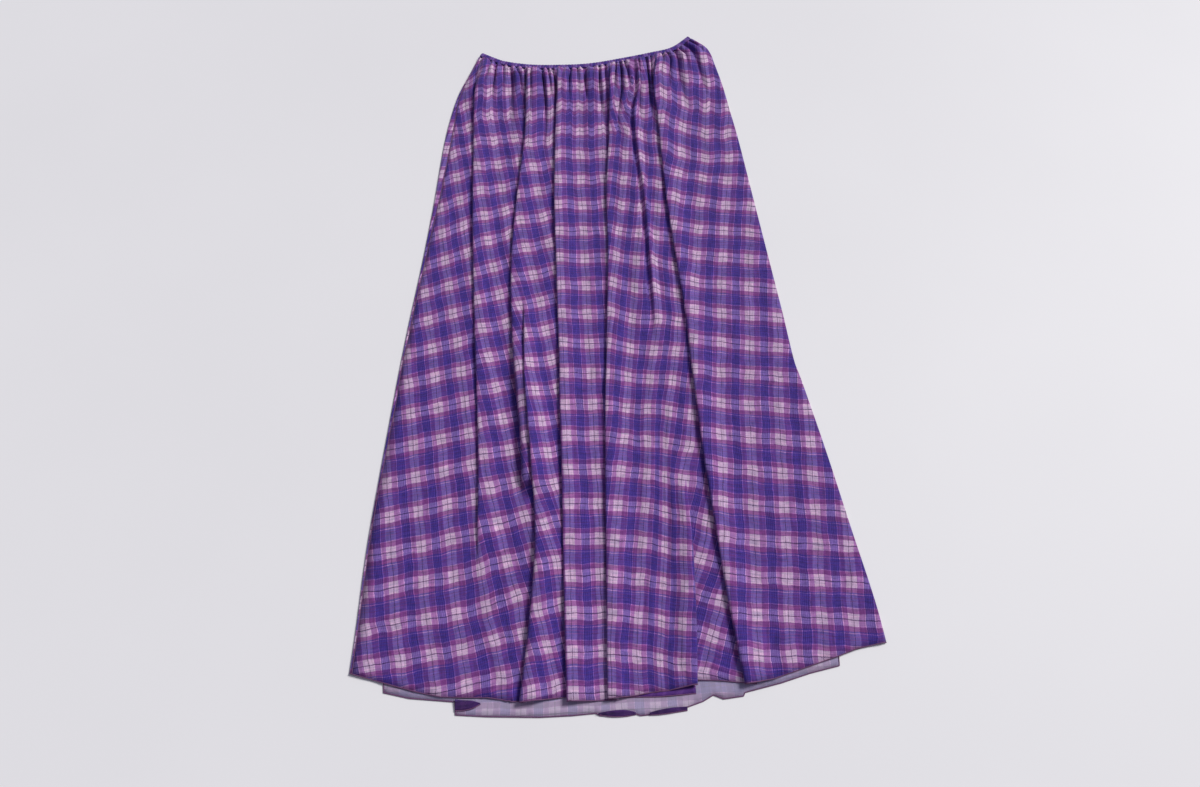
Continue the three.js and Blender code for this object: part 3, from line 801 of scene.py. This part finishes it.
back = cloth_sheet("back_cloth", [back_row(share) for share in row_shares(24, 110)], flip=True)
print("back cloth faces:", len(back.data.polygons))

# %% [markdown]
# ## The waistband
#
# The waistband is a casing of the same cloth round a narrow elastic, puckered by it all the way
# round. It is a flattened tube that follows the waist across the front and back again behind.
# Its puckers are waves in the tube's thickness, uneven in height and spacing as gathers are.

# %% Stations round the waist
BAND_TRIM = 0.9
STATIONS = 260
END_STATIONS = 10
band_radius = (BAND_WALL + GAP) / 2
band_left = WAIST[0][0] + band_radius + BAND_WALL / 2 + BAND_TRIM
band_right = WAIST[-1][0] - band_radius - BAND_WALL / 2 - BAND_TRIM


def band_stations():
    """x along the waist, height of the middle, and how far out past the end, for each station."""
    front_x = np.linspace(band_left, band_right, STATIONS)
    angle = np.linspace(0, math.pi, END_STATIONS)[1:-1]
    turn_z = band_radius * (1 + np.cos(angle))
    turn_out = band_radius * np.sin(angle)
    stations = [(x, 2 * band_radius, 0.0) for x in front_x]
    stations += [(band_right, z, out) for z, out in zip(turn_z, turn_out)]
    stations += [(x, 0.0, 0.0) for x in front_x[::-1]]
    stations += [(band_left, z, -out) for z, out in zip(turn_z[::-1], turn_out[::-1])]
    return stations


# %% The waistband's cloth
PUCKER = 0.45
PUCKER_SPACING = 4.6
PUCKER_WANDER = [(1.4, 17.0, 0.0), (0.8, 6.1, 0.0)]
BAND_SEGMENTS = 14
# Under 1, the power makes the band's round section boxy.
BOXY = 0.7
BAND_INSET = 0.3
# Where the plaid's rows lie on the casing, and how narrow the pale line along its top edge is.
BAND_ROW = 0.5
BAND_ROW_REACH = 0.13
TOP_LINE = 0.4


def boxy(value):
    return math.copysign(abs(value) ** BOXY, value)


def band_cloth():
    rows = []
    travelled = 0.0
    previous = None
    for x, z, out in band_stations():
        slope = float(smooth(WAIST, x + 1) - smooth(WAIST, x - 1)) / 2
        length = math.hypot(1, slope)
        edge_x, edge_y = (float(v) for v in below_waist(x, BAND_WIDTH / 2))
        middle = Vector((edge_x + out / length, edge_y + out * slope / length, BAND_WALL / 2 + z))
        if previous is not None:
            travelled += (middle - previous).length
        previous = middle
        down = Vector((slope / length, -1 / length, 0))
        ahead = Vector((1 / length, slope / length, 0))
        tilt = math.atan2(abs(out), z - band_radius)
        side = ahead * math.copysign(math.sin(tilt), out) + Vector((0, 0, 1)) * math.cos(tilt)
        wander = waves(travelled, PUCKER_WANDER)
        pucker = PUCKER * math.sin(2 * math.pi * travelled / PUCKER_SPACING + wander)
        row = []
        for step in range(BAND_SEGMENTS + 1):
            angle = 2 * math.pi * step / BAND_SEGMENTS
            across, up = boxy(math.cos(angle)), boxy(math.sin(angle))
            thick = BAND_WALL / 2 - PUCKER + pucker * (0.35 + 0.65 * abs(up))
            wide = BAND_WIDTH / 2 - BAND_INSET + 0.25 * pucker
            point = middle + down * (across * wide) + side * (up * thick)
            edge = math.exp(-((angle - math.pi) / TOP_LINE) ** 2)
            plaid_row = BAND_ROW + BAND_ROW_REACH * math.cos(angle) + 0.5 * edge
            row.append((*point, 2 * travelled / REPEAT_ACROSS, plaid_row))
        rows.append(row)
    rows.append(rows[0])
    return rows


# %% The waistband as one closed tube
BAND_MERGE = 0.05


def closed_tube(name, rows, merge):
    """A sheet whose edges meet, merged along them and closed at its ends."""
    piece = cloth_sheet(name, rows)
    piece.modifiers.clear()
    bm = bmesh.new()
    bm.from_mesh(piece.data)
    bmesh.ops.remove_doubles(bm, verts=bm.verts, dist=merge * MM)
    bmesh.ops.holes_fill(bm, edges=[edge for edge in bm.edges if edge.is_boundary])
    bmesh.ops.recalc_face_normals(bm, faces=bm.faces)
    bm.to_mesh(piece.data)
    bm.free()
    return piece


band = closed_tube("waistband_cloth", band_cloth(), BAND_MERGE)
print("waistband faces:", len(band.data.polygons))

# %% [markdown]
# ## The plaid as a material
#
# A plaid is two sets of stripes, one along the cloth and one across it. Each set is a color ramp
# that repeats, charted stripe by stripe below, and the two are multiplied, as two dyed threads
# that lie together look darker than either. A picture of the cloth would give the same stripes,
# and the nodes stay sharp at any size and follow the folds. Fine threads, a little wander in the
# lines and a crinkle in the surface keep it from looking printed.

# %% Stripe colors
DYES = {
    "pale": (0.63, 0.52, 0.665),
    "white": (0.92, 0.79, 0.88),
    "blush": (0.68, 0.46, 0.74),
    "orchid": (0.385, 0.20, 0.45),
    "lilac": (0.265, 0.20, 0.51),
    "berry": (0.47, 0.22, 0.475),
    "plum": (0.31, 0.155, 0.42),
    "indigo": (0.178, 0.116, 0.395),
    "slate": (0.247, 0.185, 0.54),
    "ink": (0.27, 0.20, 0.31),
}

# %% Stripes along the cloth, as the share of a repeat where each starts
LONG_STRIPES = [
    (0.000, "indigo"), (0.028, "lilac"), (0.046, "indigo"), (0.088, "lilac"), (0.108, "indigo"),
    (0.163, "blush"), (0.183, "orchid"), (0.335, "pale"), (0.487, "ink"), (0.511, "pale"),
    (0.665, "orchid"), (0.862, "blush"), (0.882, "indigo"), (0.918, "lilac"), (0.938, "indigo"),
    (0.975, "lilac"), (0.990, "indigo"),
]
print("stripes along the cloth:", len(LONG_STRIPES))

# %% Stripes across the cloth
CROSS_STRIPES = [
    (0.000, "slate"), (0.045, "plum"), (0.066, "slate"), (0.138, "blush"), (0.158, "slate"),
    (0.200, "berry"), (0.335, "white"), (0.488, "ink"), (0.512, "white"), (0.665, "berry"),
    (0.800, "blush"), (0.818, "slate"), (0.890, "lilac"), (0.905, "slate"), (0.962, "plum"),
    (0.984, "slate"),
]
print("stripes across the cloth:", len(CROSS_STRIPES))

# %% Short ways to add nodes
class Nodes:
    """A material's nodes, added one after another."""

    def __init__(self, name):
        self.material = bpy.data.materials.new(name)
        self.material.use_nodes = True
        self.tree = self.material.node_tree
        self.shader = self.tree.nodes["Principled BSDF"]

    def add(self, kind, inputs=(), **settings):
        node = self.tree.nodes.new(kind)
        for key, value in settings.items():
            setattr(node, key, value)
        for key, value in dict(inputs).items():
            self.feed(node.inputs[key], value)
        return node

    def feed(self, socket, value):
        if isinstance(value, bpy.types.NodeSocket):
            self.tree.links.new(value, socket)
        else:
            socket.default_value = value

    def math(self, operation, a, b=0.0):
        node = self.add("ShaderNodeMath", {0: a, 1: b}, operation=operation)
        return node.outputs[0]

    def vector(self, operation, a, b):
        second = "Scale" if operation == "SCALE" else 1
        return self.add("ShaderNodeVectorMath", {0: a, second: b}, operation=operation).outputs[0]

    def noise(self, place, scale, detail, output="Fac"):
        settings = {"Vector": place, "Scale": scale, "Detail": detail}
        return self.add("ShaderNodeTexNoise", settings).outputs[output]

    def stray(self, place, here, scale, detail, reach):
        """A place moved a little one way or another, by a noise that lies still on the cloth."""
        noise = self.noise(here, scale, detail, "Color")
        move = self.vector("SCALE", self.vector("SUBTRACT", noise, (0.5, 0.5, 0.5)), reach)
        return self.vector("ADD", place, move)

    def threads(self, across, along, count, streak):
        """Noise drawn out along the threads: each one a little lighter or darker than the next."""
        x, y = self.math("MULTIPLY", across, count), self.math("MULTIPLY", along, streak)
        place = self.add("ShaderNodeCombineXYZ", {"X": x, "Y": y}).outputs[0]
        return self.noise(place, 1.0, 1.0)

    def stripes(self, share, chart):
        ramp = self.add("ShaderNodeValToRGB", {"Fac": share})
        ramp.color_ramp.interpolation = "CONSTANT"
        stops = ramp.color_ramp.elements
        while len(stops) < len(chart):
            stops.new(1.0)
        for stop, (start, dye) in zip(stops, chart):
            stop.position = start
            stop.color = (*DYES[dye], 1)
        return ramp.outputs["Color"]


# %% Where on the plaid each spot is
# The chart starts half a repeat away from a pale square. Whole repeats keep the share above nought.
CHART_SHIFT = 100.5
WANDER = 0.14
FUZZ = 0.035


def plaid_place(n, here):
    """Across and down the plaid in repeats. The lines wander a little, and their edges are fuzzy."""
    place = n.add("ShaderNodeUVMap", uv_map="plaid").outputs["UV"]
    place = n.stray(place, here, 32.0, 2.0, WANDER)
    place = n.stray(place, here, 1100.0, 1.0, FUZZ)
    parts = n.add("ShaderNodeSeparateXYZ", {0: place})
    return parts.outputs["X"], parts.outputs["Y"]


# %% Uneven threads
THREADS_PER_REPEAT = 90
YARNS = 22
YARN_CONTRAST = 0.75
SLUB_CONTRAST = 0.5
WEAVE_CONTRAST = 0.06
# The tints of single yarns.
BLUER = (0.80, 0.94, 1.06, 1)
PINKER = (1.20, 1.00, 0.96, 1)


def thread_weave(n, across, down):
    """Threads over and under each other, as two waves that cross."""
    weave_long = n.math("SINE", n.math("MULTIPLY", across, THREADS_PER_REPEAT * math.tau))
    weave_cross = n.math("SINE", n.math("MULTIPLY", down, THREADS_PER_REPEAT * math.tau))
    return n.math("MULTIPLY", weave_long, weave_cross)


def thread_shades(n, across, down, here, weave, brightness):
    """How light each spot is, and the tint of its yarn."""
    slubs = n.math("MULTIPLY", n.noise(here, 240.0, 3.0), SLUB_CONTRAST)
    # brightness under 1 darkens the whole cloth as painted shade, on the folded-back hems; above 1 it pales
    # the inner face.
    uneven = n.math("ADD", slubs, 0.75 * brightness)
    uneven = n.math("ADD", uneven, n.math("MULTIPLY", weave, WEAVE_CONTRAST))
    yarns_long = n.threads(across, down, YARNS, 1.2)
    yarns_cross = n.threads(down, across, YARNS + 4, 1.5)
    yarns = n.math("SUBTRACT", n.math("ADD", yarns_long, yarns_cross), 1.0)
    uneven = n.math("ADD", uneven, n.math("MULTIPLY", yarns, YARN_CONTRAST))
    tint = n.add("ShaderNodeMix", {0: yarns_cross, 6: BLUER, 7: PINKER}, data_type="RGBA")
    return uneven, tint.outputs[2]


# %% Crinkles in the surface
CRINKLE_STRENGTH = 0.6
CRINKLE_DEPTH = 0.0015
WEAVE_HEIGHT = 0.08
# Streaks down the cloth grow stronger between these two rows of the plaid, up to the waistband.
STREAKS = {"From Min": 6.5, "From Max": 10.0, "To Min": 0.9, "To Max": 3.2}


def crinkled(n, across, down, here, weave):
    """The slope of the surface, from fine crinkles, streaks and the weave."""
    near_band = n.add("ShaderNodeMapRange", {"Value": down, **STREAKS}).outputs["Result"]
    streaks = n.math("MULTIPLY", n.threads(across, down, 4.5, 0.8), near_band)
    height = n.math("ADD", n.noise(here, 130.0, 3.0), streaks)
    height = n.math("ADD", height, n.math("MULTIPLY", weave, WEAVE_HEIGHT))
    bump = {"Height": height, "Strength": CRINKLE_STRENGTH, "Distance": CRINKLE_DEPTH}
    return n.add("ShaderNodeBump", bump).outputs["Normal"]


# %% The plaid cloth
PALE_GREY = (0.50, 0.46, 0.56, 1)


# brightness under 1 is painted shade, for the folded-back hems; above 1 the inner face shows paler.
def plaid_cloth(name, faded=0.0, brightness=1.0):
    """The plaid. faded is how far it goes towards a pale lilac grey, as on the inner face."""
    n = Nodes(name)
    here = n.add("ShaderNodeTexCoord").outputs["Object"]
    across, down = plaid_place(n, here)
    weave = thread_weave(n, across, down)
    long_color = n.stripes(n.math("FRACT", n.math("ADD", across, CHART_SHIFT)), LONG_STRIPES)
    cross_color = n.stripes(n.math("FRACT", n.math("ADD", down, CHART_SHIFT)), CROSS_STRIPES)
    uneven, tint = thread_shades(n, across, down, here, weave, brightness)
    color = n.vector("MULTIPLY", n.vector("MULTIPLY", long_color, cross_color), tint)
    shade = n.vector("SCALE", color, uneven)
    if faded:
        pale = n.add("ShaderNodeMix", {0: faded, 6: shade, 7: PALE_GREY}, data_type="RGBA")
        shade = pale.outputs[2]
    finish = {
        "Base Color": shade, "Normal": crinkled(n, across, down, here, weave), "Roughness": 0.82,
        "Specular IOR Level": 0.25, "Sheen Weight": 0.12, "Sheen Roughness": 0.45,
    }
    for key, value in finish.items():
        n.feed(n.shader.inputs[key], value)
    return n.material


outer = plaid_cloth("plaid_outside")
inner = plaid_cloth("plaid_inside", faded=0.6, brightness=1.2)
# The folded-back hems' plaid is darkened as painted shade of their crease.
turned_painted_shade = plaid_cloth("plaid_turned_hem_painted_shade", brightness=0.4)
for piece in (front, back, band):
    piece.data.materials.append(outer)
    piece.data.materials.append(inner)
print("nodes in the plaid:", len(outer.node_tree.nodes))

# %% [markdown]
# ## The sewn hem
#
# The raw edge of the hem is rolled and overlocked with dark plum thread. The thread is a thin
# tube along the edge, with a ridge at each loop. A tube made by sweeping a small circle is enough
# here, since each loop is about a millimetre. A thinner dark tube down the side seam is painted
# shade along the seam's edge.

# %% A rolled and overlocked edge
LOOP = 1.5
ROLL_RADIUS = 0.62
SEAM_RADIUS = 0.5
# Each loop is a little thicker than the cloth between it and the next.
LOOP_SIZES = (0.9, 1.12)
ROLL_SIDES = 6
ROLL_MERGE = 0.02


def rolled_edge(name, line, thread_radius=ROLL_RADIUS):
    """A tube of thread along a line of points in mm."""
    line = [Vector(p) for p in line]
    lengths = [0.0]
    for a, b in zip(line, line[1:]):
        lengths.append(lengths[-1] + (b - a).length)
    count = int(lengths[-1] / (LOOP / 2))
    rows = []
    for number in range(count + 1):
        place = lengths[-1] * number / count
        point = Vector([np.interp(place, lengths, [p[axis] for p in line]) for axis in range(3)])
        ahead = Vector([
            np.interp(min(place + 1, lengths[-1]), lengths, [p[axis] for p in line])
            - np.interp(max(place - 1, 0), lengths, [p[axis] for p in line])
            for axis in range(3)
        ]).normalized()
        side = ahead.cross(Vector((0, 0, 1))).normalized()
        up = side.cross(ahead)
        radius = thread_radius * LOOP_SIZES[number % 2]
        row = []
        for step in range(ROLL_SIDES + 1):
            angle = math.tau * step / ROLL_SIDES
            spot = point + side * (radius * math.cos(angle)) + up * (radius * math.sin(angle))
            row.append((*spot, place / REPEAT_ACROSS, step / ROLL_SIDES))
        rows.append(row)
    return closed_tube(name, rows, ROLL_MERGE)


# %% The threads along the hems, and painted shade along the side seam
BACK_THREAD_RISE = 0.3
SEAM_OFFSET = (-0.2, 0, 0.1)
SEAM_POINTS = 60
front_edge = rolled_edge("front_hem_thread", [tuple(p[:3]) for p in front_row(1.0)[:-1]])
back_edge = rolled_edge("back_hem_thread", [(*p[:2], p[2] + BACK_THREAD_RISE) for p in back_row(1.0)])
seam_line = [front_row(share)[0][:3] + SEAM_OFFSET for share in np.linspace(0, 1, SEAM_POINTS)]
# The dark tube down the side seam is painted shade along the seam's edge, in thread material.
seam = rolled_edge("side_seam_thread", seam_line, SEAM_RADIUS)
print("faces of the threads:", [len(piece.data.polygons) for piece in (front_edge, back_edge, seam)])

# %% Layers that show at the hem
# Each is a piece of cloth between an upper line and a lower one, both as (x, y), with the height
# of each line. A hem folded back on itself slopes towards the viewer and lies double, and its cloth is
# darkened as painted shade.
LAYERS = {
    "hidden_fold_hem": (
        [(-14, -476), (20, -474), (47, -470), (83, -466)],
        [(-14, -481), (14, -481.6), (41, -482.4), (81, -481)], (1.45, 1.45)),
    "turned_hem_left": (
        [(-183.2, -475), (-174, -476.5), (-164, -477.5), (-155, -480.5)],
        [(-183.2, -487.0), (-174, -487.2), (-164, -485.4), (-155, -481.2)], (3.4, 1.7)),
    "turned_hem_middle": (
        [(-26, -497.0), (-12, -495.0), (4, -495.0), (15, -498)],
        [(-26, -498.2), (-12, -500.9), (4, -501.2), (15, -500.0)], (3.8, 0.9)),
    "turned_hem_right": (
        [(30, -499.0), (42, -496.4), (56, -494.8), (72, -494.6)],
        [(30, -501.2), (42, -501.0), (56, -499.8), (72, -498.2)], (3.6, 0.9)),
}

# %% Cloth between two lines
LAYER_COLUMNS = 25
LAYER_ROWS = 5
LAYER_SAG = 0.35
SAG_LENGTH = 9
# A layer shows one dark patch of the plaid, drawn out to fill it; the patch is picked dark as painted shade
# in the creases at the hem.
LAYER_ACROSS = 300
LAYER_DOWN = 90
SHADE_PATCH_START = (0.5, 0.19)


def layer_rows(upper, lower, heights):
    x = np.linspace(upper[0][0], upper[-1][0], LAYER_COLUMNS)
    high, low = smooth(upper, x), smooth(lower, x)
    sag = LAYER_SAG * np.sin((x - x[0]) / SAG_LENGTH)
    u = SHADE_PATCH_START[0] + (x - x[LAYER_COLUMNS // 2]) / LAYER_ACROSS
    rows = []
    for share in np.linspace(0, 1, LAYER_ROWS):
        y = lerp(high, low, share)
        z = lerp(*heights, share) + sag * share
        rows.append(np.column_stack((x, y, z, u, SHADE_PATCH_START[1] + (y - low) / LAYER_DOWN)))
    return rows


# %% The layers and their threads
layers = {}
for name, (upper, lower, heights) in LAYERS.items():
    rows = layer_rows(upper, lower, heights)
    layers[name] = [cloth_sheet(name, rows)]
    layers[name][0].data.materials.append(outer if name == "hidden_fold_hem" else turned_painted_shade)
    layers[name].append(rolled_edge(name + "_thread", [tuple(p[:3]) for p in rows[-1]]))
front_layers = layers["hidden_fold_hem"]
back_layers = [piece for name, pair in layers.items() if name != "hidden_fold_hem" for piece in pair]
print("layers at the hem:", list(layers))

# %% Thread material
thread = Nodes("plum_thread")
here = thread.add("ShaderNodeTexCoord").outputs["Object"]
twist = thread.noise(here, 900.0, 2.0)
tone = thread.add("ShaderNodeValToRGB", {"Fac": twist})
tone.color_ramp.elements[0].color = (0.05, 0.015, 0.055, 1)
tone.color_ramp.elements[1].color = (0.24, 0.09, 0.22, 1)
thread.feed(thread.shader.inputs["Base Color"], tone.outputs["Color"])
thread_bump = thread.add("ShaderNodeBump", {"Height": twist, "Strength": 0.6, "Distance": 0.0004})
thread.feed(thread.shader.inputs["Normal"], thread_bump.outputs["Normal"])
thread.shader.inputs["Roughness"].default_value = 0.7
for piece in (front_edge, back_edge, seam, *(pair[1] for pair in layers.values())):
    piece.data.materials.append(thread.material)

# %% [markdown]
# ## Which body each piece moves with
#
# The model keeps its solids for collision. Each piece moves with the root body, and the solid
# under each cloth is hidden.

# %% Riding, and hiding the solids under the cloth
for piece, solid, finish in (
    (front, "front_panel", "cloth"), (back, "back_panel", "cloth"), (band, "waistband", "waistband"),
):
    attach(piece, "root")
    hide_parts(solid)
for piece in (front_edge, back_edge, seam, *front_layers, *back_layers):
    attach(piece, "root")

# %% [markdown]
# ## The table and the light
#
# A large plane stands for the table. The light is soft, from the upper right. A sun lamp with
# a wide angle lights the whole table evenly and shades the left of each fold, and a pale sky
# fills the shadows.

# %% Table
TABLE_REACH = 4.0
bm = bmesh.new()
bmesh.ops.create_grid(bm, x_segments=1, y_segments=1, size=TABLE_REACH)
table_mesh = bpy.data.meshes.new("table")
bm.to_mesh(table_mesh)
bm.free()
table = bpy.data.objects.new("table", table_mesh)
bpy.context.scene.collection.objects.link(table)
board = Nodes("white_table")
here = board.add("ShaderNodeTexCoord").outputs["Object"]
tone = board.add("ShaderNodeValToRGB", {"Fac": board.noise(here, 3.0, 3.0)})
tone.color_ramp.elements[0].color = (0.82, 0.818, 0.818, 1)
tone.color_ramp.elements[1].color = (0.862, 0.86, 0.858, 1)
board.feed(board.shader.inputs["Base Color"], tone.outputs["Color"])
board.shader.inputs["Roughness"].default_value = 0.6
table_mesh.materials.append(board.material)

# %% Light
LIGHT_DIRECTION = Vector((-0.68, -0.42, -0.70))
world = bpy.data.worlds.new("soft sky")
world.use_nodes = True
sky = world.node_tree.nodes["Background"]
sky.inputs["Color"].default_value = (0.88, 0.86, 1.12, 1)
sky.inputs["Strength"].default_value = 0.25
bpy.context.scene.world = world

window = bpy.data.lights.new("window", "SUN")
window.energy = 3.15
window.color = (1.0, 0.99, 0.965)
window.angle = math.radians(20)
lamp = bpy.data.objects.new("window", window)
lamp.rotation_euler = LIGHT_DIRECTION.to_track_quat("-Z", "Y").to_euler()
bpy.context.scene.collection.objects.link(lamp)
bpy.context.scene.view_settings.view_transform = "Standard"
